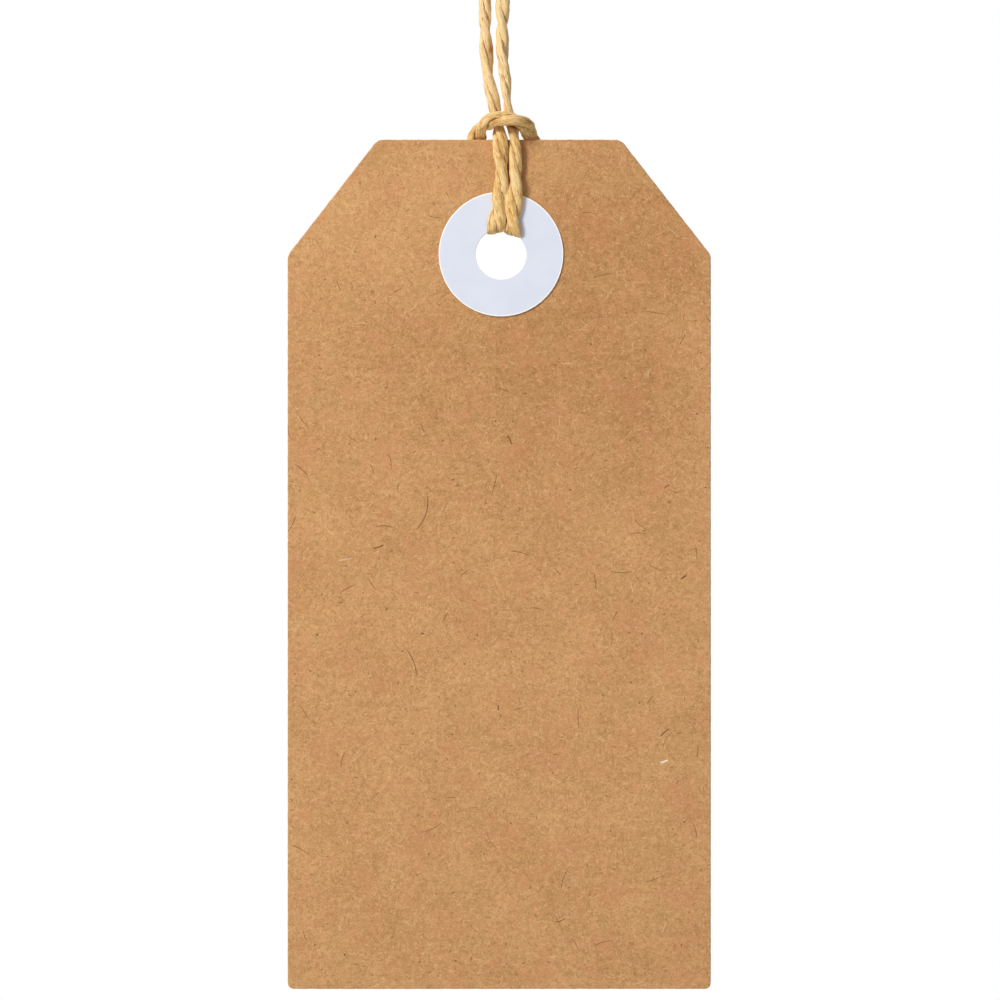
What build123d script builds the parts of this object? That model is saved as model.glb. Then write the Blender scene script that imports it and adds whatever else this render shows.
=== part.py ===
from build123d import *
import os
from math import pi, radians, sqrt, tan

# Gift tag on a looped cord, hanging. Origin at the middle of the end knot, +Z up,
# the card's front face towards -Y. All sizes in millimetres.

# Card
card_width = 48.0
card_length = 96.3
card_thickness = 0.5
corner_cut_width = 10.2
corner_cut_height = 13.1
shoulder_radius = 1.4
foot_radius = 0.75

# Hole and its reinforcement rings
hole_diameter = 5.8
hole_drop = 13.0
hole_shift = 0.2
ring_diameter = 14.0
ring_thickness = 0.12

# Cord, its end knot and the gaps that let its stretches turn on each other
cord_diameter = 1.4
cord_clearance = 0.05
hang_drop = 72.0
strand_gap = 0.12
knot_diameter = 5.2
knot_wrap_width = 1.8
knot_groove_radius = 0.3
knot_groove_tilt = 35.0
turning_gap = 0.08

# Height above the card of the line that the tag swings on, where the strands leave the hitch
swing_rise = 4.15

# Share of the shorter run that a cord's arc takes at each of its ends
arc_share = 0.45

cord_radius = cord_diameter / 2
strand_offset = cord_radius + strand_gap / 2
knot_radius = knot_diameter / 2
knot_flat_radius = strand_offset + cord_radius + cord_clearance
knot_top_height = sqrt(knot_radius**2 - knot_flat_radius**2)
card_top = -hang_drop
card_foot = card_top - card_length
hole_height = card_top - hole_drop

# A strand lies on a ring's face, and folds round the hole's edge with the card and rings inside it
lay = card_thickness / 2 + ring_thickness + cord_clearance + cord_radius
fold_radius = arc_share * 2 * lay


def hole_edge(x):
    """Height of the hole's upper edge at a place across the card."""
    return hole_height + sqrt((hole_diameter / 2) ** 2 - (x - hole_shift) ** 2)


def fold_height(x):
    """Height of a strand's middle where it passes through the hole under its upper edge."""
    return hole_edge(x) - fold_radius - cord_clearance


def cord_radii(route):
    """Radius at each inner point: a share of the shorter run, divided by the tangent of half the turn."""
    radii = []
    for before, here, after in zip(route, route[1:], route[2:]):
        run_in = Vector(*here) - Vector(*before)
        run_out = Vector(*after) - Vector(*here)
        half_turn = radians(run_in.get_angle(run_out)) / 2
        radii.append(arc_share * min(run_in.length, run_out.length) / tan(half_turn))
    return radii


def report_cord(name, route, line, tube):
    """Print a cord's radii, its length and its volume beside section times length."""
    length = sum(edge.length for edge in line.edges())
    section = pi * cord_radius**2
    print(name, "radii", [round(radius, 2) for radius in cord_radii(route)])
    print(name, "length", round(length, 2), "volume", round(tube.volume, 2), "of", round(section * length, 2))


# Places across the card where the strands pass through the hole
fold_left = -0.42
fold_right = 1.56

# Route of the hitch: down the front, through the hole, up the back, over the top in front of
# both strands, and the same way back. Heights are from the card's top edge.
strand_top = swing_rise - cord_radius - turning_gap
hitch_shape = [
    (-0.48, 0.0, strand_top),
    (-0.36, 0.0, 2.3),
    (-0.14, -0.56, 1.3),
    (0.04, -lay, -0.05),
    (0.36, -lay, -4.1),
    (0.02, -lay, -7.2),
    (fold_left, -lay, fold_height(fold_left) - card_top),
    (fold_left - 0.05, lay, fold_height(fold_left) - card_top),
    (-1.0, lay, -7.8),
    (-2.2, lay + 0.1, -3.6),
    (-2.7, lay + 0.14, -0.3),
    (-2.4, 0.64, 1.02),
    (-1.78, -1.0, 1.78),
    (-0.9, -2.05, 2.4),
    (1.5, -2.1, 2.52),
    (2.74, -1.1, 2.1),
    (3.36, 0.58, 1.14),
    (3.68, lay + 0.14, -0.3),
    (3.2, lay + 0.1, -3.6),
    (2.1, lay, -7.8),
    (fold_right + 0.05, lay, fold_height(fold_right) - card_top),
    (fold_right, -lay, fold_height(fold_right) - card_top),
    (1.66, -lay, -7.2),
    (1.98, -lay, -4.4),
    (1.74, -lay, -0.05),
    (1.5, -0.56, 1.3),
    (1.24, 0.0, 2.3),
    (1.1, 0.0, strand_top),
]
hitch_route = [(x, y, card_top + z) for x, y, z in hitch_shape]

# Routes of the two strands from the swing line up to the knot, in the card's middle plane:
# place across the card and height from its top edge
tail_left_shape = [
    (-0.6, swing_rise),
    (-0.84, 5.4),
    (-1.26, 7.2),
    (-1.44, 9.7),
    (-1.62, 12.6),
    (-1.6, 17.0),
    (-1.48, 24.0),
    (-1.26, 34.0),
    (-1.02, 46.0),
    (-0.86, 59.0),
    (-strand_offset, hang_drop),
]
tail_right_shape = [
    (0.98, swing_rise),
    (0.82, 5.4),
    (0.66, 7.2),
    (0.34, 9.5),
    (0.33, 12.4),
    (0.42, 17.0),
    (0.52, 24.0),
    (0.62, 34.0),
    (0.7, 46.0),
    (0.74, 59.0),
    (strand_offset, hang_drop),
]
tail_left_route = [(x, 0, card_top + z) for x, z in tail_left_shape]
tail_right_route = [(x, 0, card_top + z) for x, z in tail_right_shape]

# Routes of the two short ends that stand up from the knot
end_foot = knot_top_height + turning_gap
cut_end_left_route = [
    (-strand_offset, 0.0, end_foot),
    (-strand_offset, 0.0, end_foot + 1.6),
    (-1.15, -0.1, end_foot + 3.7),
    (-2.0, -0.4, end_foot + 5.9),
    (-2.6, -0.5, end_foot + 7.9),
]
cut_end_right_route = [
    (strand_offset, 0.0, end_foot),
    (strand_offset, 0.0, end_foot + 1.5),
    (1.0, 0.15, end_foot + 3.5),
    (1.9, 0.5, end_foot + 5.3),
    (3.2, 0.7, end_foot + 6.4),
]

os.makedirs("parts", exist_ok=True)

# Card: a sheet with cut top corners and the hole punched through it
with BuildPart() as tag_card:
    with BuildSketch(Plane.XZ) as card_outline:
        with BuildLine():
            Polyline(
                (-card_width / 2, card_foot),
                (card_width / 2, card_foot),
                (card_width / 2, card_top - corner_cut_height),
                (card_width / 2 - corner_cut_width, card_top),
                (-card_width / 2 + corner_cut_width, card_top),
                (-card_width / 2, card_top - corner_cut_height),
                close=True,
            )
        make_face()
        fillet(card_outline.vertices().group_by(Axis.Y)[0], foot_radius)
        fillet(card_outline.vertices().sort_by(Axis.Y)[-4:], shoulder_radius)
        with Locations((hole_shift, hole_height)):
            Circle(hole_diameter / 2, mode=Mode.SUBTRACT)
    extrude(amount=card_thickness / 2, both=True)
tag_card.part.label = "tag_card"
export_step(tag_card.part, "parts/tag_card.step")

# Reinforcement rings: one paper ring glued on each face, punched with the card
with BuildPart() as front_ring:
    with BuildSketch(Plane.XZ.offset(card_thickness / 2)):
        with Locations((hole_shift, hole_height)):
            Circle(ring_diameter / 2)
            Circle(hole_diameter / 2, mode=Mode.SUBTRACT)
    extrude(amount=ring_thickness)
front_ring.part.label = "front_ring"
export_step(front_ring.part, "parts/front_ring.step")

with BuildPart() as rear_ring:
    with BuildSketch(Plane.XZ.offset(-card_thickness / 2)):
        with Locations((hole_shift, hole_height)):
            Circle(ring_diameter / 2)
            Circle(hole_diameter / 2, mode=Mode.SUBTRACT)
    extrude(amount=-ring_thickness)
rear_ring.part.label = "rear_ring"
export_step(rear_ring.part, "parts/rear_ring.step")

# Cow hitch: one unbroken cord round the card's top edge and through the hole
with BuildPart() as hitch_cord:
    with BuildLine() as hitch_line:
        FilletPolyline(*hitch_route, radius=cord_radii(hitch_route))
    with BuildSketch(Plane(hitch_line.line @ 0, z_dir=hitch_line.line % 0)):
        Circle(cord_radius)
    sweep(path=hitch_line.line)
hitch_cord.part.label = "hitch_cord"
export_step(hitch_cord.part, "parts/hitch_cord.step")
report_cord("hitch_cord", hitch_route, hitch_line, hitch_cord.part)

# Strands from the hitch to the knot: rounded at the swing line, hollowed to the knot's ball above
for tail_name, tail_route in (("tail_left", tail_left_route), ("tail_right", tail_right_route)):
    with BuildPart() as tail:
        with BuildLine() as tail_line:
            FilletPolyline(*tail_route, radius=cord_radii(tail_route))
        with BuildSketch(Plane(tail_line.line @ 0, z_dir=tail_line.line % 0)):
            Circle(cord_radius)
        sweep(path=tail_line.line)
        report_cord(tail_name, tail_route, tail_line, tail.part)
        Sphere(knot_radius + turning_gap, mode=Mode.SUBTRACT)
        with Locations(tail_route[0]):
            Sphere(cord_radius)
    tail.part.label = tail_name
    export_step(tail.part, f"parts/{tail_name}.step")

# Knot: a ball with the grooves between its wraps and a flat top under the short ends
with BuildPart() as end_knot:
    Sphere(knot_radius)
    for offset in (-knot_wrap_width / 2, knot_wrap_width / 2):
        with Locations(Plane.XY.rotated((0, knot_groove_tilt, 0)).offset(offset)):
            Torus(sqrt(knot_radius**2 - offset**2), knot_groove_radius, mode=Mode.SUBTRACT)
    split(bisect_by=Plane.XY.offset(knot_top_height), keep=Keep.BOTTOM)
end_knot.part.label = "end_knot"
export_step(end_knot.part, "parts/end_knot.step")

# Short cut ends above the knot
for end_name, end_route in (("cut_end_left", cut_end_left_route), ("cut_end_right", cut_end_right_route)):
    with BuildPart() as cut_end:
        with BuildLine() as end_line:
            FilletPolyline(*end_route, radius=cord_radii(end_route))
        with BuildSketch(Plane(end_line.line @ 0, z_dir=end_line.line % 0)):
            Circle(cord_radius)
        sweep(path=end_line.line)
    cut_end.part.label = end_name
    export_step(cut_end.part, f"parts/{end_name}.step")
    report_cord(end_name, end_route, end_line, cut_end.part)
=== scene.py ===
import math

import bpy
import numpy as np
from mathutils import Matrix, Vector


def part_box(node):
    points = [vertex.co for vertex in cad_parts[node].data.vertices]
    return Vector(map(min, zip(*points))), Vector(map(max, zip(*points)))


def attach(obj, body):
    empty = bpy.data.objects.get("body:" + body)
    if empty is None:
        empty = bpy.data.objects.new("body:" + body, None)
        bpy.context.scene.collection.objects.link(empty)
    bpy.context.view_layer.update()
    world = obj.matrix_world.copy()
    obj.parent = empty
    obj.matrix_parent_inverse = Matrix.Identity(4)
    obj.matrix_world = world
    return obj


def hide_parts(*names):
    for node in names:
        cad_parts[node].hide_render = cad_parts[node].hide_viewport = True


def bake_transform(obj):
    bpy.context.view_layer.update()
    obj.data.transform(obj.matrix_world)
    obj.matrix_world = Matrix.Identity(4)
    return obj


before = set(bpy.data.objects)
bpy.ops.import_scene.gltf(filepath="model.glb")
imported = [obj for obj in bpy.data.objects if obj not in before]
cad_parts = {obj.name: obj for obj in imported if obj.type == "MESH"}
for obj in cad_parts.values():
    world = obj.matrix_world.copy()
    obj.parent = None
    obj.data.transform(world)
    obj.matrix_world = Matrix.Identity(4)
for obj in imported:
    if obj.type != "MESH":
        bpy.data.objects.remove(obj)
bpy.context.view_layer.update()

# A kraft card tag that hangs on a looped two-ply twine. Metres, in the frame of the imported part.
MM = 0.001
TURN = 2 * math.pi
ACROSS = np.array([1.0, 0.0, 0.0])
VIEW = np.array([0.0, 1.0, 0.0])

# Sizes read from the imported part
card_low, card_high = (np.array(corner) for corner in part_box("tag_card"))
ring_low, ring_high = (np.array(corner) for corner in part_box("front_ring"))
knot_low, knot_high = (np.array(corner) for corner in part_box("end_knot"))
card_top = card_high[2]
card_foot = card_low[2]
half_card = (card_high[1] - card_low[1]) / 2
half_width = (card_high[0] - card_low[0]) / 2
ring_middle = (ring_low + ring_high) / 2
ring_radius = (ring_high[0] - ring_low[0]) / 2
ring_thickness = ring_high[1] - ring_low[1]
hole = ring_middle[[0, 2]]
knot_radius = (knot_high[0] - knot_low[0]) / 2

# Sizes that the part's boxes don't give
corner_cut_width = 10.2 * MM
corner_cut_height = 13.1 * MM
shoulder_radius = 1.4 * MM
foot_radius = 0.75 * MM
hole_radius = 2.9 * MM
ring_spread = 0.06 * MM
ring_loft = 0.06 * MM

# Camera: square on to the card, with the frame's middle and scale of the photograph
frame_width = 113.34 * MM
frame_shift = 0.085 * MM
frame_drop = 40.86 * MM
camera_distance = 0.55
sensor_width = 36
camera_data = bpy.data.cameras.new("camera")
camera_data.sensor_width = sensor_width
camera_data.lens = sensor_width * camera_distance / frame_width
camera_data.clip_start = 0.01
camera_data.clip_end = 20
camera = bpy.data.objects.new("camera", camera_data)
camera.location = (frame_shift, -camera_distance - half_card, card_top - frame_drop)
camera.rotation_euler = (math.pi / 2, 0, 0)
bpy.context.scene.collection.objects.link(camera)
bpy.context.scene.camera = camera


# Nodes and materials
def add(tree, kind, inputs=(), **settings):
    """A shader node with its settings, and its inputs as values or as links from other sockets."""
    made = tree.nodes.new("ShaderNode" + kind)
    for key, value in settings.items():
        setattr(made, key, value)
    for key, value in dict(inputs).items():
        if isinstance(value, bpy.types.NodeSocket):
            tree.links.new(value, made.inputs[key])
        else:
            made.inputs[key].default_value = value
    return made


def sums(tree, operation, first, second=0.0, third=0.0):
    """One step of arithmetic on numbers or sockets."""
    made = add(tree, "Math", {0: first, 1: second, 2: third}, operation=operation)
    return made.outputs[0]


def plus(tree, total, value, amount, offset=0.0):
    """A total with an amount of a value and an offset added."""
    return sums(tree, "ADD", total, sums(tree, "MULTIPLY_ADD", value, amount, offset))


def step(tree, value, low, high, to_low=0.0, to_high=1.0):
    """A smooth step from one value to another as the input goes from low to high."""
    inputs = {"Value": value, "From Min": low, "From Max": high, "To Min": to_low, "To Max": to_high}
    return add(tree, "MapRange", inputs, interpolation_type="SMOOTHSTEP").outputs[0]


def mix(tree, factor, first, second):
    """Two colours mixed by a factor."""
    return add(tree, "Mix", {0: factor, 6: first, 7: second}, data_type="RGBA").outputs[2]


def noise(tree, vector, scale, detail=2.0, roughness=0.5, distortion=0.0):
    """Smooth noise from 0 to 1."""
    inputs = {"Vector": vector, "Scale": scale, "Detail": detail, "Roughness": roughness}
    return add(tree, "TexNoise", {**inputs, "Distortion": distortion}).outputs[0]


def moved(tree, vector, by, scale=(1, 1, 1)):
    """A vector shifted and scaled."""
    return add(tree, "Mapping", {"Vector": vector, "Location": by, "Scale": scale}).outputs[0]


def colour(red, green, blue):
    """Linear colour of an sRGB triple in 0 to 255."""
    part = np.array([red, green, blue]) / 255
    linear = np.where(part <= 0.04045, part / 12.92, ((part + 0.055) / 1.055) ** 2.4)
    return (*linear.tolist(), 1.0)


def new_material(name):
    """An empty node material and its Principled shader."""
    material = bpy.data.materials.new(name)
    material.use_nodes = True
    tree = material.node_tree
    return material, tree, tree.nodes["Principled BSDF"]


def millimetres_of(tree):
    """A piece's own coordinates in millimetres."""
    place = add(tree, "TexCoord").outputs["Object"]
    return add(tree, "VectorMath", {0: place, "Scale": 1000.0}, operation="SCALE").outputs[0]


def dress_shader(tree, shader, base, lift, relief, roughness, shine):
    """Give a shader its colour, its relief with a strength and a depth, its roughness and its shine."""
    strength, depth = relief
    bump = add(tree, "Bump", {"Strength": strength, "Distance": depth, "Height": lift})
    tree.links.new(base, shader.inputs["Base Color"])
    tree.links.new(bump.outputs[0], shader.inputs["Normal"])
    tree.links.new(roughness, shader.inputs["Roughness"])
    shader.inputs["Specular IOR Level"].default_value = shine


def fibre(tree, local, angle, bend, length, width):
    """One curved fibre round the origin: a parabola's line, faded at its sides and its two ends."""
    inputs = {"Vector": local, "Angle": angle}
    turned = add(tree, "VectorRotate", inputs, rotation_type="Z_AXIS").outputs[0]
    parts = add(tree, "SeparateXYZ", {"Vector": turned})
    sag = sums(tree, "MULTIPLY", sums(tree, "MULTIPLY", parts.outputs[0], parts.outputs[0]), bend)
    off = sums(tree, "ABSOLUTE", sums(tree, "SUBTRACT", parts.outputs[1], sag))
    reach = sums(tree, "DIVIDE", sums(tree, "ABSOLUTE", parts.outputs[0]), length)
    line = step(tree, off, width, width * 0.2)
    return sums(tree, "MULTIPLY", line, step(tree, reach, 0.5, 0.3))


def fibres(tree, flat, scale, shift, length, width, kept, curl):
    """Short curved fibres up to a length, one to a cell of a Voronoi pattern, each turned, bent, cut and
    faded its own way by the cell's three random numbers. The first one's further digits cut the length,
    by up to 0.6 of it, and the third keeps the cells that are below a share."""
    place = moved(tree, flat, shift)
    cell = add(tree, "TexVoronoi", {"Vector": place, "Scale": scale}, voronoi_dimensions="2D")
    own = add(tree, "SeparateColor", {"Color": cell.outputs["Color"]})
    from_middle = {0: place, 1: cell.outputs["Position"]}
    local = add(tree, "VectorMath", from_middle, operation="SUBTRACT").outputs[0]
    angle = sums(tree, "MULTIPLY", own.outputs[0], TURN)
    bend = sums(tree, "MULTIPLY_ADD", own.outputs[1], 2 * curl, -curl)
    cut = sums(tree, "FRACT", sums(tree, "MULTIPLY", own.outputs[0], 7.0))
    own_length = sums(tree, "MULTIPLY_ADD", cut, -0.6 * length, length)
    line = fibre(tree, local, angle, bend, own_length, width)
    return sums(tree, "MULTIPLY", line, step(tree, own.outputs[2], kept, kept * 0.3))


# Marks that stand out in the board: place across and height in millimetres from the card's top middle,
# slope in degrees, length, bend, width and how strongly they show
DARK_MARKS = [
    (20.9, -49.6, 34, 0.9, 0.0, 0.14, 0.9),
    (1.2, -34.0, 118, 1.3, 0.3, 0.12, 0.75),
    (-8.3, -42.4, 72, 5.0, 0.12, 0.1, 0.7),
    (-13.7, -46.2, 18, 1.5, 0.1, 0.13, 0.75),
    (-11.5, -39.4, 70, 0.7, 0.0, 0.11, 0.65),
    (-8.7, -56.0, 0, 0.4, 0.0, 0.16, 0.85),
    (-9.7, -59.2, 111, 3.8, 0.1, 0.1, 0.65),
    (19.0, -39.3, 35, 0.9, 0.0, 0.12, 0.55),
    (10.9, -50.0, 97, 2.2, 0.1, 0.1, 0.55),
    (18.7, -67.2, 42, 1.6, -0.1, 0.12, 0.7),
    (6.9, -88.6, 20, 1.6, 0.3, 0.11, 0.6),
    (-0.1, -64.4, 88, 0.8, 0.0, 0.14, 0.7),
]
PALE_MARKS = [
    (18.7, -70.5, 20, 1.1, 0.1, 0.14, 1.0),
    (-17.5, -47.6, 8, 2.0, 0.0, 0.1, 0.35),
]

# Broad paler and darker places on the board, partly its own tone and partly painted light, paler in the top
# left where the light falls and darker towards the right: place as above, reach, and how much paler
LIGHT_AND_TONE_WASHES = [
    (-15.0, -9.0, 15.0, 0.05),
    (8.0, -24.0, 26.0, -0.12),
    (17.0, -8.0, 14.0, -0.09),
    (-13.0, -27.0, 14.0, -0.05),
    (-9.0, -69.0, 18.0, 0.03),
]


def board_plane(tree):
    """Place on the board in millimetres, across and from its top edge. The rear face's places are shifted
    across, so that it has other fibres than the front."""
    rear_shift = 71.0
    parts = add(tree, "SeparateXYZ", {"Vector": millimetres_of(tree)})
    rear = sums(tree, "GREATER_THAN", parts.outputs[1], 0.0)
    across = sums(tree, "MULTIPLY_ADD", rear, rear_shift, parts.outputs[0])
    height = sums(tree, "SUBTRACT", parts.outputs[2], card_top / MM)
    return add(tree, "CombineXYZ", {0: across, 1: height, 2: 0.0}).outputs[0]


def kraft_material():
    """Brown kraft board. Its shade, from dark to pale brown, is a half with layers of noise, felted fibres
    and broad washes added, the washes partly the board's own tone and partly painted light. Reddish and
    yellowish clouds, fibres, specks and marks are mixed over it, and the noise and the fibres give its
    relief."""
    material, tree, shader = new_material("kraft_card")
    flat = board_plane(tree)
    fine = noise(tree, flat, 4.6, 3.0, 0.65, 0.6)
    mottle = noise(tree, moved(tree, flat, (31, 7, 0)), 1.5, 3.0, 0.6, 0.4)
    cloud = noise(tree, moved(tree, flat, (3, 57, 0)), 0.13, 3.0, 0.6)
    blotch = noise(tree, moved(tree, flat, (13, 5, 0)), 0.62, 3.0)
    blush = noise(tree, moved(tree, flat, (41, 17, 0)), 0.2, 3.0, 0.6)
    felt_dark = fibres(tree, flat, 2.3, (5, 3, 0), 0.55, 0.07, 0.9, 1.2)
    felt_pale = fibres(tree, flat, 2.0, (9, 21, 0), 0.6, 0.07, 0.9, 1.2)
    shade = 0.5
    for layer, amount in ((fine, 0.76), (mottle, 0.52), (blotch, 0.2), (cloud, 0.3)):
        shade = plus(tree, shade, layer, amount, -amount / 2)
    # Washes of tone and painted light: paler in the top left, darker towards the right
    for x, z, reach, paler in LIGHT_AND_TONE_WASHES:
        away = add(tree, "VectorMath", {0: flat, 1: (x, z, 0)}, operation="DISTANCE").outputs["Value"]
        shade = sums(tree, "ADD", shade, step(tree, away, reach, 0.0, 0.0, paler))
    shade = plus(tree, shade, felt_pale, 0.14)
    shade = plus(tree, shade, felt_dark, -0.15)
    base = mix(tree, step(tree, shade, 0.0, 1.0), colour(158, 107, 59), colour(234, 184, 128))
    for layer, none, full, share, tint in (
        (blotch, 0.5, 0.72, 0.38, colour(204, 142, 98)),
        (blotch, 0.46, 0.25, 0.3, colour(194, 152, 96)),
        (blush, 0.5, 0.66, 0.3, colour(204, 140, 98)),
        (blush, 0.48, 0.34, 0.25, colour(196, 152, 98)),
    ):
        base = mix(tree, step(tree, layer, none, full, 0.0, share), base, tint)

    pale = fibres(tree, flat, 1.0, (3, 8, 0), 0.7, 0.09, 0.5, 0.6)
    pale_long = fibres(tree, flat, 0.3, (19, 8, 0), 1.8, 0.09, 0.3, 0.3)
    dark = fibres(tree, flat, 0.26, (17, 29, 0), 3.0, 0.075, 0.26, 0.22)
    dark_short = fibres(tree, flat, 0.6, (7, 61, 0), 0.6, 0.09, 0.22, 0.6)
    speck = fibres(tree, flat, 0.42, (23, 47, 0), 0.34, 0.1, 0.2, 0.1)
    for line, share, tint in (
        (sums(tree, "MAXIMUM", pale, pale_long), 0.5, colour(230, 190, 146)),
        (dark_short, 0.66, colour(122, 76, 40)),
        (dark, 0.72, colour(122, 76, 42)),
        (speck, 0.88, colour(92, 54, 30)),
    ):
        base = mix(tree, sums(tree, "MULTIPLY", line, share), base, tint)
    for marks, tint in ((DARK_MARKS, colour(96, 54, 26)), (PALE_MARKS, colour(252, 236, 214))):
        for x, z, slope, length, bend, width, strength in marks:
            local = moved(tree, flat, (-x, -z, 0))
            line = fibre(tree, local, -math.radians(slope), bend, length, width)
            base = mix(tree, sums(tree, "MULTIPLY", line, strength), base, tint)

    lift = plus(tree, sums(tree, "MULTIPLY", fine, 0.6), mottle, 0.5)
    lift = plus(tree, lift, sums(tree, "ADD", pale, dark), 0.3)
    roughness = step(tree, fine, 0.2, 0.8, 0.8, 0.94)
    dress_shader(tree, shader, base, lift, (0.4, 0.05 * MM), roughness, 0.12)
    return material


def ring_material():
    """Coated bluish white paper: faint clouds and a fine tooth, and whiter at its outer edge, a painted
    highlight along the raised cut edge as well as the cut paper's own paleness.
    """
    material, tree, shader = new_material("ring_paper")
    millimetres = millimetres_of(tree)
    cloud = noise(tree, millimetres, 0.35, 2.0)
    tooth = noise(tree, millimetres, 7.0, 3.0, 0.6)
    base = mix(tree, step(tree, cloud, 0.3, 0.7), colour(220, 224, 236), colour(224, 228, 240))
    base = mix(tree, step(tree, tooth, 0.3, 0.7, 0.0, 0.25), base, colour(216, 220, 233))
    parts = add(tree, "SeparateXYZ", {"Vector": millimetres})
    flat = add(tree, "CombineXYZ", {0: parts.outputs[0], 1: parts.outputs[2], 2: 0.0}).outputs[0]
    middle = (hole[0] / MM, hole[1] / MM, 0)
    away = add(tree, "VectorMath", {0: flat, 1: middle}, operation="DISTANCE").outputs["Value"]
    rim = (ring_radius + ring_spread) / MM
    # Painted highlight, with the cut paper's own paleness: a near-white band along the outer edge
    base = mix(tree, step(tree, away, rim - 0.17, rim - 0.08), base, colour(254, 254, 254))
    roughness = step(tree, tooth, 0.2, 0.8, 0.42, 0.55)
    dress_shader(tree, shader, base, tooth, (0.15, 0.02 * MM), roughness, 0.35)
    return material


def twine_material():
    """Twisted straw-coloured paper strip: crinkles and streaks along each ply, ochre folds, paler patches
    and dark flecks; painted shade between the plies, painted light that pales the strands above the card,
    and the listed stains, whose strong ones are painted shadows."""
    material, tree, shader = new_material("twine")
    grain = add(tree, "Attribute", attribute_name="grain").outputs["Vector"]
    tone = add(tree, "Attribute", attribute_name="tone").outputs["Vector"]
    crevice_shade, pale, stain_and_shade = add(tree, "SeparateXYZ", {"Vector": tone}).outputs
    streak = noise(tree, grain, 2.8, 3.0, 0.65, 0.3)
    fold = noise(tree, moved(tree, grain, (5, 9, 2), (1, 1, 0.4)), 1.5, 2.0, 0.5)
    patch = noise(tree, moved(tree, grain, (1, 4, 7), (0.3, 0.3, 0.5)), 1.1, 2.0)
    fleck = noise(tree, moved(tree, grain, (8, 2, 5), (1, 1, 0.6)), 2.6, 1.0)
    base = mix(tree, step(tree, streak, 0.3, 0.7), colour(206, 156, 84), colour(250, 214, 150))
    for share, tint in (
        (step(tree, fold, 0.44, 0.26, 0.0, 0.6), colour(190, 134, 64)),
        (step(tree, patch, 0.45, 0.75, 0.0, 0.4), colour(253, 228, 176)),
        # Painted light: the strands above the card paler, as if lit from behind
        (sums(tree, "MULTIPLY", pale, 0.4), colour(255, 228, 180)),
        (step(tree, fleck, 0.36, 0.3, 0.0, 0.68), colour(150, 94, 38)),
        # Ochre of the stains, and of the painted shadows among them
        (stain_and_shade, colour(184, 114, 44)),
        # Painted shadow: the strong stains turn dark brown
        (step(tree, stain_and_shade, 0.7, 1.0, 0.0, 0.8), colour(96, 48, 14)),
        # Painted shade between the plies
        (sums(tree, "MULTIPLY", crevice_shade, 0.92), colour(104, 56, 18)),
    ):
        base = mix(tree, share, base, tint)
    lift = plus(tree, sums(tree, "MULTIPLY", streak, 0.9), fold, 0.8)
    roughness = step(tree, streak, 0.2, 0.8, 0.85, 0.7)
    dress_shader(tree, shader, base, lift, (0.85, 0.1 * MM), roughness, 0.15)
    return material


# Twine
def spline(points):
    """Points of a NURBS curve of order 3 through Blender's own evaluation, held at both ends."""
    curve = bpy.data.curves.new("route", "CURVE")
    curve.dimensions = "3D"
    curve.resolution_u = 40
    line = curve.splines.new("NURBS")
    line.points.add(len(points) - 1)
    line.points.foreach_set("co", np.c_[points, np.ones(len(points))].ravel())
    line.order_u = 3
    line.use_endpoint_u = True
    holder = bpy.data.objects.new("route", curve)
    mesh = bpy.data.meshes.new_from_object(holder)
    found = np.empty(len(mesh.vertices) * 3)
    mesh.vertices.foreach_get("co", found)
    bpy.data.objects.remove(holder)
    bpy.data.curves.remove(curve)
    bpy.data.meshes.remove(mesh)
    return found.reshape(-1, 3)


def unit(vectors):
    """Vectors at length 1."""
    return vectors / np.linalg.norm(vectors, axis=-1, keepdims=True)


def wobble(along, seed, waves):
    """Sum of sines along a path, each of its own length and height and with a seeded phase."""
    length, height = np.array(waves).T
    phase = np.random.default_rng(seed).uniform(0, TURN, len(waves))
    return (np.sin(along[:, None] * TURN / length + phase) * height).sum(1)


def twine_path(points, shares, first_side):
    """A twine's middle line with a frame carried along it: each side is the one before it with its part
    along the new direction taken off, so the frame doesn't turn about the line. Shares are the
    thickness and the flatness at each of the route's points, read through the same spline."""
    at = spline(points)
    share = spline(np.c_[shares, np.zeros(len(shares))])
    onward = unit(np.gradient(at, axis=0))
    side = np.empty_like(at)
    side[0] = unit(first_side - onward[0] * (first_side @ onward[0]))
    for ring in range(1, len(at)):
        kept = side[ring - 1] - onward[ring] * (side[ring - 1] @ onward[ring])
        side[ring] = kept / np.sqrt(kept @ kept)
    run = np.linalg.norm(np.diff(at, axis=0), axis=1)
    return {
        "at": at,
        "onward": onward,
        "side": side,
        "over": np.cross(onward, side),
        "along": np.concatenate([[0.0], np.cumsum(run)]),
        "strip": np.broadcast_to(ACROSS, at.shape),
        "thick": share[:, 0],
        "flat": share[:, 1],
    }


# Stains and painted shadows of the twine: the weaker ones are ochre stains, and the strong ones are painted
# shade as well, where the bight and the legs lie over the strands and the card's top edge and on a shaded
# ply of the left strand. Each one also shows more of the painted shade between the plies. Columns: across,
# depth and height above the card's top in millimetres, reach across and along, and strength
STAINS_AND_SHADOWS = [
    (-0.95, -0.4, 10.1, 0.42, 1.0, 0.84),
    (-1.05, -0.4, 15.6, 0.3, 0.7, 0.45),
    (-0.65, -2.7, 2.05, 0.45, 0.4, 0.6),
    (-3.0, 0.2, 0.75, 0.35, 0.5, 0.6),
    (-2.3, 0.2, 0.2, 0.6, 0.16, 1.0),
    (1.45, -0.8, 1.4, 0.9, 0.28, 1.0),
    (-0.1, -0.8, 1.5, 0.8, 0.16, 0.8),
    (3.15, -1.0, 1.78, 0.75, 0.17, 1.0),
    (3.8, 0.2, 0.1, 0.8, 0.2, 0.9),
]


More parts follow.
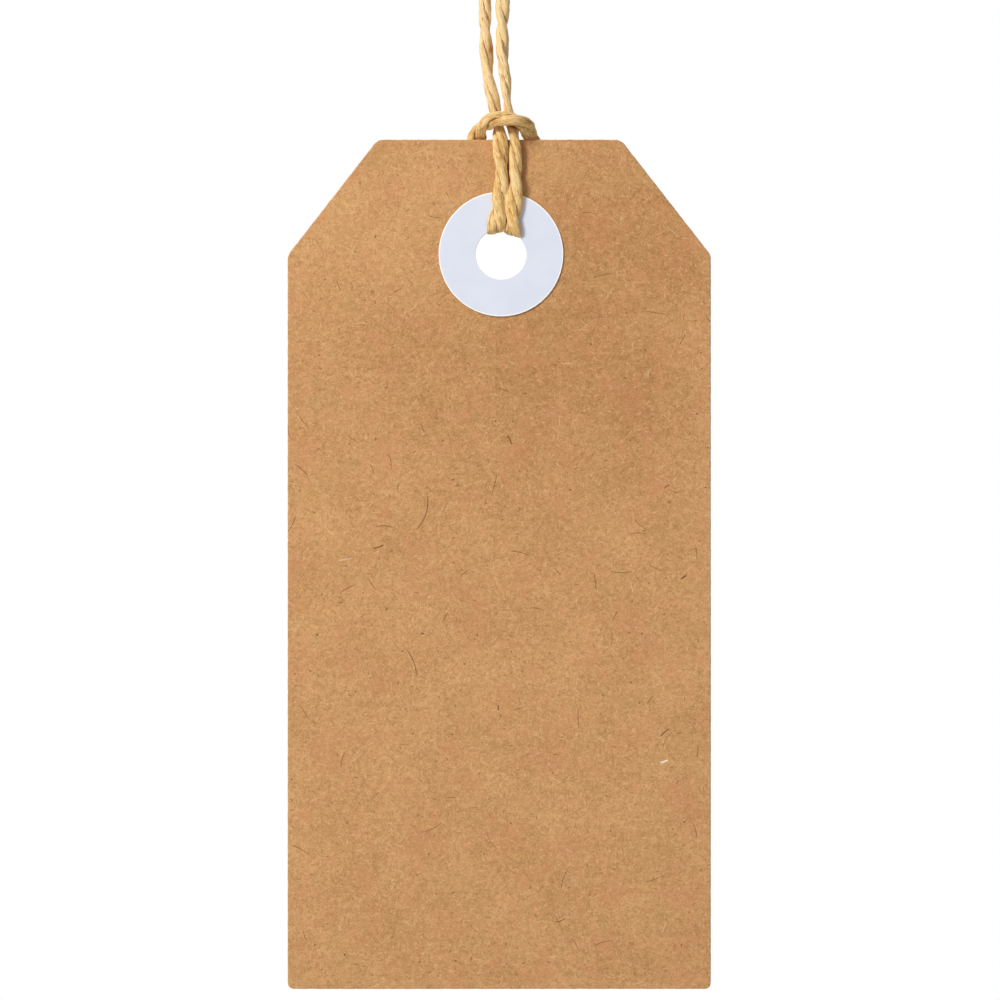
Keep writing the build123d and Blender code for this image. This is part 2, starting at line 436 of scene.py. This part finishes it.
# Painted light: the strip grows paler upwards from this height above the card's top, over this run, in
# millimetres, as strands lit from behind
painted_light_from = 1.5
painted_light_run = 4


def ply_tone(skin, crevice_shade, shade_shown):
    """Three shares at each point: the painted shade between the plies, shown on some stretches and in every
    stain; how much painted light pales the strip, which rises from the card's top to the strands above it;
    and how stained or shaded, as the largest of the bells of the stains and painted shadows."""
    across, depth, height = np.moveaxis(skin / MM, -1, 0)
    height = height - card_top / MM
    # Painted light: the strands above the card made paler, as if lit from behind
    pale = np.clip((height - painted_light_from) / painted_light_run, 0, 1)
    stain_and_shade = np.zeros(height.shape)
    # Stains and painted shadows, each a bell round its place
    for x, y, z, wide, high, strength in STAINS_AND_SHADOWS:
        bell = np.exp(-(((across - x) / wide) ** 2) - ((height - z) / high) ** 2 - (depth - y) ** 2)
        stain_and_shade = np.maximum(stain_and_shade, strength * bell)
    return np.stack([crevice_shade * np.clip(shade_shown + 2 * stain_and_shade, 0, 1), pale, stain_and_shade], -1)


# One ply of the twine: how far its middle lies from the twine's, and its half sizes, in millimetres
ply_offset = 0.29
ply_half_depth = 0.45
ply_half_width = 0.50
ply_sides = 24

# Lobes round a ply, as count, height and how far they follow the drift, and the length of their own turn
LOBES = [(3, 0.05, 1.0), (5, 0.04, -1.7), (8, 0.03, 2.3)]
lobe_turn = 45 * MM

# Waves along the twine, as length and height: of its thickness, of its lobes' drift and of how much of the
# painted shade between its plies is shown
SWELL_WAVES = [(7.1 * MM, 0.05), (3.3 * MM, 0.04), (1.3 * MM, 0.015)]
DRIFT_WAVES = [(9.0 * MM, 1.2), (4.1 * MM, 0.8), (1.7 * MM, 0.4)]
CREVICE_SHADE_WAVES = [(1.9 * MM, 0.5), (3.7 * MM, 0.5), (8 * MM, 0.3)]
crevice_shade_share = 0.42

# That painted shade begins at this cosine on a ply's inner side, where it faces the other ply, and is full
# further in by this much
crevice_shade_from = 0.36
crevice_shade_run = 0.24

# A flattened twine is wider by up to this share. Its grain runs on at this rate, from another place for
# the second ply
flat_spread = 0.45
grain_rate = 0.5
grain_shift = 140


def ply_skin(path, rings, seed):
    """Two plies wound round a path. A ply's point is the path's point, plus the ply's middle, which goes
    round the path with the turn angle, plus an oval with slow lobes that run along the twine. Where the
    twine is pressed flat the offset is widened along the strip's direction and shortened square to it."""
    at, along, turn = path["at"][rings], path["along"][rings], path["turn"][rings]
    round_ply = np.arange(ply_sides) * TURN / ply_sides
    skins, grains, tones = [], [], []
    for ply in range(2):
        angle = turn + ply * math.pi
        radial = np.cos(angle)[:, None] * path["side"][rings]
        radial = radial + np.sin(angle)[:, None] * path["over"][rings]
        sideways = np.cross(path["onward"][rings], radial)
        size = path["thick"][rings] * (1 + wobble(along, seed + ply, SWELL_WAVES))
        drift = wobble(along, seed + 10 + ply, DRIFT_WAVES)[:, None]
        spin = round_ply + angle[:, None] + along[:, None] * TURN / lobe_turn
        lobes = 1.0
        for count, high, follow in LOBES:
            lobes = lobes + high * np.cos(count * spin + follow * drift)
        out = (ply_offset + ply_half_depth * np.cos(round_ply) * lobes) * MM * size[:, None]
        wide = ply_half_width * np.sin(round_ply) * lobes * MM * size[:, None]
        offset = out[..., None] * radial[:, None] + wide[..., None] * sideways[:, None]
        strip = path["strip"][rings][:, None]
        across = (offset * strip).sum(-1, keepdims=True) * strip
        flat = path["flat"][rings][:, None, None]
        offset = flat * (offset - across) + (1 + flat_spread - flat_spread * flat) * across
        skins.append(at[:, None] + offset)
        length = np.broadcast_to(along[:, None] / MM * grain_rate + grain_shift * ply, spin.shape)
        grains.append(np.stack([np.cos(spin), np.sin(spin), length], -1))
        # Painted shade on the ply's inner side, where it faces the other ply, shown on some stretches
        deep = np.clip((-np.cos(round_ply) - crevice_shade_from) / crevice_shade_run, 0, 1)
        crevice_shade = deep * deep * (3 - 2 * deep)
        shade_shown = np.clip(crevice_shade_share + wobble(along, seed + 15 + ply, CREVICE_SHADE_WAVES), 0, 1)
        tones.append(ply_tone(skins[-1], crevice_shade, shade_shown[:, None]))
    return np.stack(skins), np.stack(grains), np.stack(tones)


def tube_faces(tubes, rings, sides, first):
    """Faces of closed tubes whose points lie in a grid of tube, ring and side from a first number, with
    their end caps."""
    index = first + np.arange(tubes * rings * sides).reshape(tubes, rings, sides)
    nearer, further = index[:, :-1], index[:, 1:]
    walls = np.stack([nearer, np.roll(nearer, -1, 2), np.roll(further, -1, 2), further], -1).reshape(-1, 4)
    caps = np.concatenate([index[:, 0, ::-1], index[:, -1]])
    return walls.tolist() + caps.tolist()


# Stray fibres: rings along one, sides round it, its radius in millimetres and how much thinner its tip is
hair_rings = 9
hair_sides = 4
hair_radius = 0.024
hair_taper = 0.016


def stray_fibres(path, rings, count, seed):
    """Thin hairs that leave the twine's surface: each runs along the twine, rises with the square of its
    own length and curls sideways, as a four-sided tube that thins to its tip."""
    rng = np.random.default_rng(seed)
    pick = rng.integers(rings.start, rings.stop, count)
    angle = rng.uniform(0, TURN, count)[:, None]
    out = np.cos(angle) * path["side"][pick] + np.sin(angle) * path["over"][pick]
    way = path["onward"][pick] * rng.choice([-1.0, 1.0], count)[:, None]
    beside = np.cross(way, out)
    length = rng.uniform(0.5, 1.6, count)[:, None, None] * MM
    rise = rng.uniform(0.05, 0.3, count)[:, None, None] * MM
    curl = rng.uniform(-0.3, 0.3, count)[:, None, None] * MM
    part = np.linspace(0, 1, hair_rings)[None, :, None]
    root = path["at"][pick] + out * 0.5 * MM * path["thick"][pick][:, None] * path["flat"][pick][:, None]
    line = root[:, None] + way[:, None] * length * part + out[:, None] * rise * part**2
    line = line + beside[:, None] * curl * np.sin(2.5 * part)
    corner = np.arange(hair_sides) * TURN / hair_sides
    ring = np.cos(corner)[:, None] * out[:, None, None] + np.sin(corner)[:, None] * beside[:, None, None]
    thickness = (hair_radius - hair_taper * part)[..., None] * MM
    return line[:, :, None] + ring * thickness


def new_piece(name, points, faces, material, **attributes):
    """A mesh object from arrays, smooth shaded, with a vector at each point for each of its attributes."""
    mesh = bpy.data.meshes.new(name)
    mesh.from_pydata(points.reshape(-1, 3), [], faces)
    for key, values in attributes.items():
        layer = mesh.attributes.new(key, "FLOAT_VECTOR", "POINT")
        layer.data.foreach_set("vector", values.astype(np.float32).ravel())
    mesh.polygons.foreach_set("use_smooth", np.ones(len(mesh.polygons), bool))
    mesh.materials.append(material)
    piece = bpy.data.objects.new(name, mesh)
    bpy.context.scene.collection.objects.link(piece)
    return piece


def twine_piece(name, stretches, material, seed, hairs):
    """A piece of twine from stretches of paths, each with both its plies and its stray fibres."""
    points, faces, grains, tones = [], [], [], []
    total = 0
    for number, (path, rings) in enumerate(stretches):
        skin, grain, tone = ply_skin(path, rings, seed + 20 * number)
        hair = stray_fibres(path, rings, hairs, seed + 20 * number + 5)
        faces += tube_faces(*skin.shape[:3], total)
        faces += tube_faces(*hair.shape[:3], total + skin[..., 0].size)
        total += skin[..., 0].size + hair[..., 0].size
        points += [skin.reshape(-1, 3), hair.reshape(-1, 3)]
        grains += [grain.reshape(-1, 3), np.zeros((hair[..., 0].size, 3))]
        tones += [tone.reshape(-1, 3), np.zeros((hair[..., 0].size, 3))]
    grain, tone = np.concatenate(grains), np.concatenate(tones)
    return new_piece(name, np.concatenate(points), faces, material, grain=grain, tone=tone)


# Route of the twine in millimetres: across, depth, height above the card's top edge, then the twine's
# thickness there as a share of its usual one and its depth as a share of a round cord's. Its middle lies at
# these depths on the rear and in the hole, and on the front.
lay = 1.12
front = 0.92
left_tail = [
    (-0.76, 0.0, 72.0, 1.0, 1.0),
    (-0.86, 0.0, 59.0, 1.02, 1.0),
    (-1.02, 0.0, 46.0, 0.98, 1.0),
    (-1.26, 0.0, 34.0, 1.02, 1.0),
    (-1.48, 0.0, 24.0, 1.0, 1.0),
    (-1.60, 0.0, 17.0, 1.0, 1.0),
    (-1.62, 0.0, 12.6, 0.96, 1.0),
    (-1.44, 0.0, 9.7, 1.14, 1.0),
    (-1.30, 0.0, 7.2, 1.02, 1.0),
    (-0.84, 0.0, 5.4, 1.0, 1.0),
    (-0.60, 0.0, 4.15, 0.98, 1.0),
]
hitch = [
    (-0.48, 0.0, 3.37, 0.96, 1.0),
    (-0.36, 0.0, 2.3, 0.94, 1.0),
    (-0.06, -0.5, 1.3, 1.04, 1.0),
    (0.04, -front, -0.05, 1.14, 0.92),
    (0.34, -front, -4.1, 1.08, 0.82),
    (0.02, -0.74, -7.2, 1.12, 0.62),
    (-0.38, -lay, -10.44, 1.14, 0.42),
    (-0.45, lay, -10.44, 1.1, 0.42),
    (-1.0, lay, -7.8, 1.1, 0.85),
    (-2.2, lay + 0.1, -3.6, 1.1, 0.95),
    (-2.8, lay + 0.14, -0.4, 1.3, 1.0),
    (-2.28, 0.64, 1.02, 1.36, 1.0),
    (-1.56, -1.0, 1.56, 1.24, 1.0),
    (-0.78, -2.05, 2.2, 1.18, 1.0),
    (1.4, -2.1, 2.26, 1.16, 1.0),
    (2.78, -1.1, 1.78, 1.18, 1.0),
    (3.26, 0.58, 1.06, 1.42, 1.0),
    (3.98, lay + 0.14, -0.4, 1.75, 1.0),
    (3.2, lay + 0.1, -3.6, 1.1, 0.95),
    (2.1, lay, -7.8, 1.1, 0.85),
    (1.61, lay, -10.7, 1.1, 0.42),
    (1.52, -lay, -10.7, 1.14, 0.42),
    (1.62, -0.74, -7.2, 1.23, 0.62),
    (1.92, -front, -4.4, 1.02, 0.82),
    (1.74, -front, -0.05, 0.95, 0.92),
    (1.54, -0.5, 1.3, 0.98, 1.0),
    (1.24, 0.0, 2.3, 0.88, 1.0),
    (1.0, 0.0, 3.37, 0.78, 1.0),
]
right_tail = [
    (0.9, 0.0, 4.15, 0.78, 1.0),
    (0.82, 0.0, 5.4, 0.82, 1.0),
    (0.66, 0.0, 7.2, 0.84, 1.0),
    (0.34, 0.0, 9.5, 1.06, 1.0),
    (0.33, 0.0, 12.4, 1.04, 1.0),
    (0.42, 0.0, 17.0, 1.04, 1.0),
    (0.52, 0.0, 24.0, 1.0, 1.0),
    (0.62, 0.0, 34.0, 1.02, 1.0),
    (0.70, 0.0, 46.0, 0.98, 1.0),
    (0.74, 0.0, 59.0, 1.02, 1.0),
    (0.76, 0.0, 72.0, 1.0, 1.0),
]
route = np.array(left_tail + hitch + right_tail)
twine = twine_path(route[:, :3] * MM + (0, 0, card_top), route[:, 3:], ACROSS)

# Turn of the plies: their usual half turn, and the places where they lie side by side in the photograph,
# in the route's terms
half_turn = 4.8 * MM
SIDE_BY_SIDE = [
    (-1.62, 0.0, 14.9), (-1.45, 0.0, 10.0), (-0.65, 0.0, 4.5),
    (0.15, -0.9, -1.2), (0.3, -0.9, -5.4), (-0.3, -1.0, -10.0),
    (-2.8, 1.1, 0.1), (-0.48, -2.05, 2.15), (3.1, -0.4, 1.6),
    (1.68, -0.8, -6.8), (1.85, -0.9, -2.1), (1.4, 0.0, 2.2),
    (0.72, 0.0, 6.7), (0.33, 0.0, 11.3), (0.38, 0.0, 14.7),
]


def marked_turn(path, marks):
    """Turn angle along a path. At a mark it is that of the line across the view, give or take half turns:
    as many as bring it nearest to the usual turn since the mark before, and at least one. It runs evenly
    from mark to mark, and at the usual rate past the outer two."""
    places = np.argmin(np.linalg.norm(path["at"][:, None] - marks[None], axis=-1), axis=0)
    across = np.cross(path["onward"][places], VIEW)
    bearing = np.arctan2((across * path["over"][places]).sum(1), (across * path["side"][places]).sum(1))
    run = path["along"][places]
    angles = [bearing[0]]
    for number in range(1, len(run)):
        goal = angles[-1] - max(1.0, (run[number] - run[number - 1]) / half_turn) * math.pi
        angles.append(bearing[number] + round((goal - bearing[number]) / math.pi) * math.pi)
    ends = path["along"][[0, -1]]
    first = angles[0] + (run[0] - ends[0]) / half_turn * math.pi
    last = angles[-1] - (ends[1] - run[-1]) / half_turn * math.pi
    return np.interp(path["along"], [ends[0], *run, ends[1]], [first, *angles, last])


twine["turn"] = marked_turn(twine, np.array(SIDE_BY_SIDE) * MM + (0, 0, card_top))
height = twine["at"][:, 2] - card_top

# Under the hole's upper edge the flattened strip follows that edge, more and more from a height down
follow_share = 0.65
follow_from = -8.2 * MM
follow_run = 1.6 * MM
from_hole = twine["at"][:, [0, 2]] - hole
edge_way = unit(np.stack([from_hole[:, 1], np.zeros(len(height)), -from_hole[:, 0]], -1))
follow = follow_share * np.clip((follow_from - height) / follow_run, 0, 1)[:, None]
twine["strip"] = unit(ACROSS + follow * (edge_way - ACROSS))

# The twine in three pieces: the strands are parted from the hitch at the height where they pass behind its
# bight, and stop inside the knot
twine_look = twine_material()
cut_height = 2.4 * MM
strand_end = 0.28 * knot_radius
last_left = np.argmax(height <= cut_height)
first_right = len(height) - 1 - np.argmax(height[::-1] <= cut_height)
outside_knot = np.flatnonzero(twine["at"][:, 2] <= -strand_end)
left_rings = slice(outside_knot[0], last_left + 1)
hitch_rings = slice(last_left, first_right + 1)
right_rings = slice(first_right, outside_knot[-1] + 1)

twine_left = twine_piece("twine_left", [(twine, left_rings)], twine_look, seed=100, hairs=12)
twine_right = twine_piece("twine_right", [(twine, right_rings)], twine_look, seed=100, hairs=12)
twine_hitch = twine_piece("twine_hitch", [(twine, hitch_rings)], twine_look, seed=100, hairs=8)

# Overhand knot: both strands go side by side once and a half round the pair that passes through them
knot_tilt = math.radians(35)
knot_reach = 0.58 * knot_radius
knot_thickness = 0.86
knot_side = np.array([0.0, 0.3, 1.0])
wrap_points = 22
wrap_turns = 1.45
wrap_rise = 2.5
short_lay = 9.5 * MM


def even_twine(points, thickness, first_side, first_turn):
    """A path through points whose plies turn evenly along it from a first angle."""
    path = twine_path(points, np.c_[thickness, np.ones(len(points))], first_side)
    path["turn"] = first_turn - path["along"] * TURN / short_lay
    return path


def whole(path):
    """A path with all of its rings."""
    return path, slice(0, len(path["at"]))


def wrap_route(beside):
    """One strand's wrap in the knot: it goes round the knot's axis and rises along it. At its ends, by the
    fifth power of the way from its middle, it closes in on the axis and on the other strand's wrap, which
    it lies beside elsewhere. Then all of it is tilted sideways."""
    part = np.linspace(0, 1, wrap_points)
    ending = np.abs(2 * part - 1) ** 5
    angle = TURN * (wrap_turns * part - 0.2)
    reach = knot_reach * (1 - 0.75 * ending)
    rise = (wrap_rise * (part - 0.5) + beside * (1 - ending)) * MM
    x, y = reach * np.cos(angle), reach * np.sin(angle)
    tilted_x = x * math.cos(knot_tilt) + rise * math.sin(knot_tilt)
    tilted_z = rise * math.cos(knot_tilt) - x * math.sin(knot_tilt)
    return np.stack([tilted_x, y, tilted_z], -1)


knot_paths = []
for number, beside in enumerate((-0.62, 0.62)):
    thickness = np.full(wrap_points, knot_thickness)
    knot_paths.append(whole(even_twine(wrap_route(beside), thickness, knot_side, 1.3 * number)))
for beside in (-0.6, 0.6):
    points = [(beside, 0.0, -1.3), (0.8 * beside, 0.3 * beside, 0.0), (beside, 0.0, 1.2)]
    thickness = np.full(len(points), knot_thickness)
    knot_paths.append(whole(even_twine(np.array(points) * MM, thickness, ACROSS, beside)))
knot_wraps = twine_piece("knot_wraps", knot_paths, twine_look, seed=400, hairs=8)

# Short ends that stand up from the knot, each with more stray fibres at its last rings, the frayed tip
tip_rings = 14
end_routes = {
    "end_left": [
        (-0.66, 0.0, 1.3), (-0.76, 0.0, 2.2), (-0.76, 0.0, 3.8),
        (-1.15, -0.1, 5.9), (-2.0, -0.4, 8.1), (-2.6, -0.5, 10.1),
    ],
    "end_right": [
        (0.66, 0.0, 1.3), (0.76, 0.0, 2.2), (0.76, 0.0, 3.7),
        (1.0, 0.15, 5.7), (1.9, 0.5, 7.5), (3.2, 0.7, 8.6),
    ],
}
cut_ends = []
for number, (name, points) in enumerate(end_routes.items()):
    thickness = np.linspace(0.88, 0.95, len(points))
    path = even_twine(np.array(points) * MM, thickness, ACROSS, 0.7 * number)
    last = len(path["at"])
    whole_and_tip = [whole(path), (path, slice(last - tip_rings, last))]
    cut_ends.append(twine_piece(name, whole_and_tip, twine_look, seed=500 + 40 * number, hairs=14))

# The strands run from the hitch to the knot, fixed in the part's frame, in place of its tails. The hitch is
# held by the card.
for strand, rings, node, end in (
    (twine_left, left_rings, "tail_left", cut_ends[0]),
    (twine_right, right_rings, "tail_right", cut_ends[1]),
):
    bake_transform(strand)
    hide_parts(node)
for piece, body, node, slot in (
    (twine_hitch, "tag", "hitch_cord", "twine"),
    (knot_wraps, "knot", "end_knot", "twine"),
    (cut_ends[0], "held_ends", "cut_end_left", "twine"),
    (cut_ends[1], "held_ends", "cut_end_right", "twine"),
):
    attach(piece, body)
    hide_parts(node)


# Card and rings
def grid_faces(rows, columns):
    """Faces of a grid that closes on itself both ways, columns first and then rows."""
    index = np.arange(rows * columns).reshape(rows, columns)
    nearer, further = index, np.roll(index, -1, 0)
    return np.stack([nearer, np.roll(nearer, -1, 1), np.roll(further, -1, 1), further], -1).reshape(-1, 4)


def rounded_outline(corners, radii, spacing):
    """A polygon with rounded corners as points at about even spacing: each corner is an arc between the
    points where it touches its two sides, and each side is a straight run between arcs."""
    corners = np.array(corners)
    back = unit(np.roll(corners, 1, 0) - corners)
    ahead = unit(np.roll(corners, -1, 0) - corners)
    half = np.arccos((back * ahead).sum(1)) / 2
    radii = np.array(radii)
    arc_points = 9
    inward = unit(back + ahead)
    middle = corners + inward * (radii / np.sin(half))[:, None]
    start = corners + back * (radii / np.tan(half))[:, None]
    finish = corners + ahead * (radii / np.tan(half))[:, None]
    runs = []
    for number in range(len(corners)):
        first, last = start[number] - middle[number], finish[number] - middle[number]
        swing = math.pi - 2 * half[number]
        part = np.linspace(0, 1, arc_points)[:, None]
        arc = (np.sin((1 - part) * swing) * first + np.sin(part * swing) * last) / np.sin(swing)
        runs.append(middle[number] + arc)
        goal = start[(number + 1) % len(corners)]
        count = int(np.linalg.norm(goal - finish[number]) / spacing)
        runs.append(finish[number] + np.linspace(0, 1, count + 1)[1:-1, None] * (goal - finish[number]))
    return np.concatenate(runs)


def card_outline():
    """The card's outline as points across and up, and the direction outwards at each: the rounded polygon,
    moved outwards and inwards by a sum of sines, as a die cuts fibrous board."""
    shoulder = half_width - corner_cut_width
    corners = [
        (-half_width, card_foot),
        (half_width, card_foot),
        (half_width, card_top - corner_cut_height),
        (shoulder, card_top),
        (-shoulder, card_top),
        (-half_width, card_top - corner_cut_height),
    ]
    radii = [foot_radius] * 2 + [shoulder_radius] * 4
    outline = rounded_outline(corners, radii, spacing=0.35 * MM)
    heading = unit(np.roll(outline, -1, 0) - np.roll(outline, 1, 0))
    outward = np.stack([heading[:, 1], -heading[:, 0]], -1)
    around = np.concatenate([[0.0], np.cumsum(np.linalg.norm(np.diff(outline, axis=0), axis=1))])
    ragged = wobble(around, 7, [(0.9 * MM, 0.008), (1.7 * MM, 0.008), (3.1 * MM, 0.006)]) * MM
    inset = 0.02 * MM
    return outline + outward * (ragged - inset)[:, None], outward


def card_section():
    """Rows of the sheet's section, from the hole's edge over the front to the outer edge and back over the
    rear: how far each lies from the hole to the rim, its inset from the rim, and its depth. The cut edge is
    a quarter circle on each face."""
    face_rows, arc_rows = 44, 5
    edge_round = 0.11 * MM
    guard = 0.06 * MM
    arc = np.linspace(0, math.pi / 2, arc_rows)
    inset = np.full(face_rows, edge_round + guard)
    face = np.stack([np.linspace(0, 1, face_rows), inset, np.full(face_rows, -half_card)], -1)
    rounding, setback = edge_round * (1 - np.sin(arc)), edge_round * (1 - np.cos(arc))
    front = np.concatenate([face, np.stack([np.ones(arc_rows), rounding, setback - half_card], -1)])
    return np.concatenate([front, front[::-1] * (1, 1, -1)])


def card_points():
    """The sheet's points: each row of the section runs round at its share of the way from the hole to the
    rim, and the sheet waves by two sines that fade out near the hole, under the rings."""
    outline, outward = card_outline()
    section = card_section()
    calm_reach, calm_run = 9 * MM, 25 * MM
    hole_edge = hole + unit(outline - hole) * hole_radius
    rim = outline[None] - outward[None] * section[:, 1, None, None]
    flat = hole_edge[None] + section[:, 0, None, None] * (rim - hole_edge[None])
    calm = np.clip((np.linalg.norm(flat - hole, axis=-1) - calm_reach) / calm_run, 0, 1)
    wave = 0.05 * np.sin(flat[..., 0] / (6.1 * MM) + 0.8)
    wave = wave + 0.06 * np.sin(flat[..., 1] / (8.3 * MM) + flat[..., 0] / (13 * MM))
    depth = section[:, 2, None] + calm * wave * MM
    return np.stack([flat[..., 0], depth, flat[..., 1]], -1)


sheet = card_points()
sheet_faces = grid_faces(*sheet.shape[:2])[:, ::-1].tolist()
card_sheet = new_piece("card_sheet", sheet, sheet_faces, kraft_material())


def paper_ring(name, outer_face, glued_face, material):
    """A flat paper ring: its section, with the die's rounded edge on the outer face, carried round the
    hole."""
    outer, bore = ring_radius + ring_spread, hole_radius
    bevel, guard = 0.03 * MM, 0.06 * MM
    arc_rows, face_rows, columns = 4, 5, 240
    thickness = glued_face - outer_face
    arc = np.linspace(0, math.pi / 2, arc_rows)
    turn = np.linspace(0, TURN, columns, endpoint=False)
    across = np.linspace(bore + guard, outer - guard, face_rows)
    rim = outer - bevel * (1 - np.sin(arc))
    lip = bore + bevel * (1 - np.sin(arc))
    radius = np.concatenate([[lip[0]], across, rim, [outer, bore], lip[:0:-1]])
    drop = math.copysign(bevel, thickness) * (1 - np.cos(arc))
    level = np.zeros(1 + face_rows)
    depth = outer_face + np.concatenate([level, drop, [thickness, thickness], drop[:0:-1]])
    body = np.stack([
        hole[0] + radius[:, None] * np.cos(turn),
        np.broadcast_to(depth[:, None], (len(depth), columns)),
        hole[1] + radius[:, None] * np.sin(turn),
    ], -1)
    faces = grid_faces(*body.shape[:2])
    if outer_face < glued_face:
        faces = faces[:, ::-1]
    return new_piece(name, body, faces.tolist(), material)


ring_look = ring_material()
ring_front = paper_ring("ring_front", ring_low[1] - ring_loft, ring_high[1], ring_look)
ring_back = paper_ring("ring_back", half_card + ring_thickness + ring_loft, half_card, ring_look)
for piece, node, slot in (
    (card_sheet, "tag_card", "kraft_card"),
    (ring_front, "front_ring", "ring_paper"),
    (ring_back, "rear_ring", "ring_paper"),
):
    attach(piece, "tag")
    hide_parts(node)


# Pale floor below the hanging tag, white behind it, a soft lamp from the upper left and one from behind
def seen_by(tree, *kinds):
    """1 for rays of the given kinds, and 0 for others."""
    rays = add(tree, "LightPath")
    seen = rays.outputs[f"Is {kinds[0]} Ray"]
    for kind in kinds[1:]:
        seen = sums(tree, "MAXIMUM", seen, rays.outputs[f"Is {kind} Ray"])
    return seen


floor_reach = 2.0
floor_drop = 0.22
floor_glow = 0.55
floor_corners = np.array([(-1, -1, 0), (1, -1, 0), (1, 1, 0), (-1, 1, 0)]) * floor_reach
floor_data = bpy.data.meshes.new("floor")
floor_data.from_pydata(floor_corners + (0, 0, card_foot - floor_drop), [], [(0, 1, 2, 3)])
floor = bpy.data.objects.new("floor", floor_data)
bpy.context.scene.collection.objects.link(floor)
floor_look, floor_tree, floor_shader = new_material("floor")
floor_shader.inputs["Base Color"].default_value = (0.86, 0.86, 0.86, 1)
floor_shader.inputs["Roughness"].default_value = 0.9
floor_shader.inputs["Emission Color"].default_value = (1, 1, 1, 1)
glow = sums(floor_tree, "MULTIPLY", seen_by(floor_tree, "Camera", "Glossy"), floor_glow)
floor_tree.links.new(glow, floor_shader.inputs["Emission Strength"])
floor_data.materials.append(floor_look)

sky_light = 0.31
world = bpy.data.worlds.new("world")
bpy.context.scene.world = world
world.use_nodes = True
sky = world.node_tree
sky.nodes.clear()
sky_seen = seen_by(sky, "Camera", "Transmission", "Glossy")
sky_strength = sums(sky, "MULTIPLY_ADD", sky_seen, 1 - sky_light, sky_light)
background = add(sky, "Background", {"Color": (1, 1, 1, 1), "Strength": sky_strength})
add(sky, "OutputWorld", {"Surface": background.outputs[0]})

target_drop = 40 * MM
target = np.array([0.0, 0.0, card_top - target_drop])


def lamp(name, offset, size, energy):
    """A round soft lamp at an offset from the target, aimed at it and not seen itself."""
    data = bpy.data.lights.new(name, "AREA")
    data.shape = "DISK"
    data.size = size
    data.energy = energy
    made = bpy.data.objects.new(name, data)
    made.location = (target + offset).tolist()
    aim = Vector(target.tolist()) - made.location
    made.rotation_euler = aim.to_track_quat("-Z", "Y").to_euler()
    made.visible_camera = False
    bpy.context.scene.collection.objects.link(made)


lamp("key", (-0.36, -0.42, 0.40), size=0.2, energy=4.15)
lamp("back", (0.1, 0.5, 0.25), size=0.6, energy=2.2)

bpy.context.scene.view_settings.view_transform = "Standard"
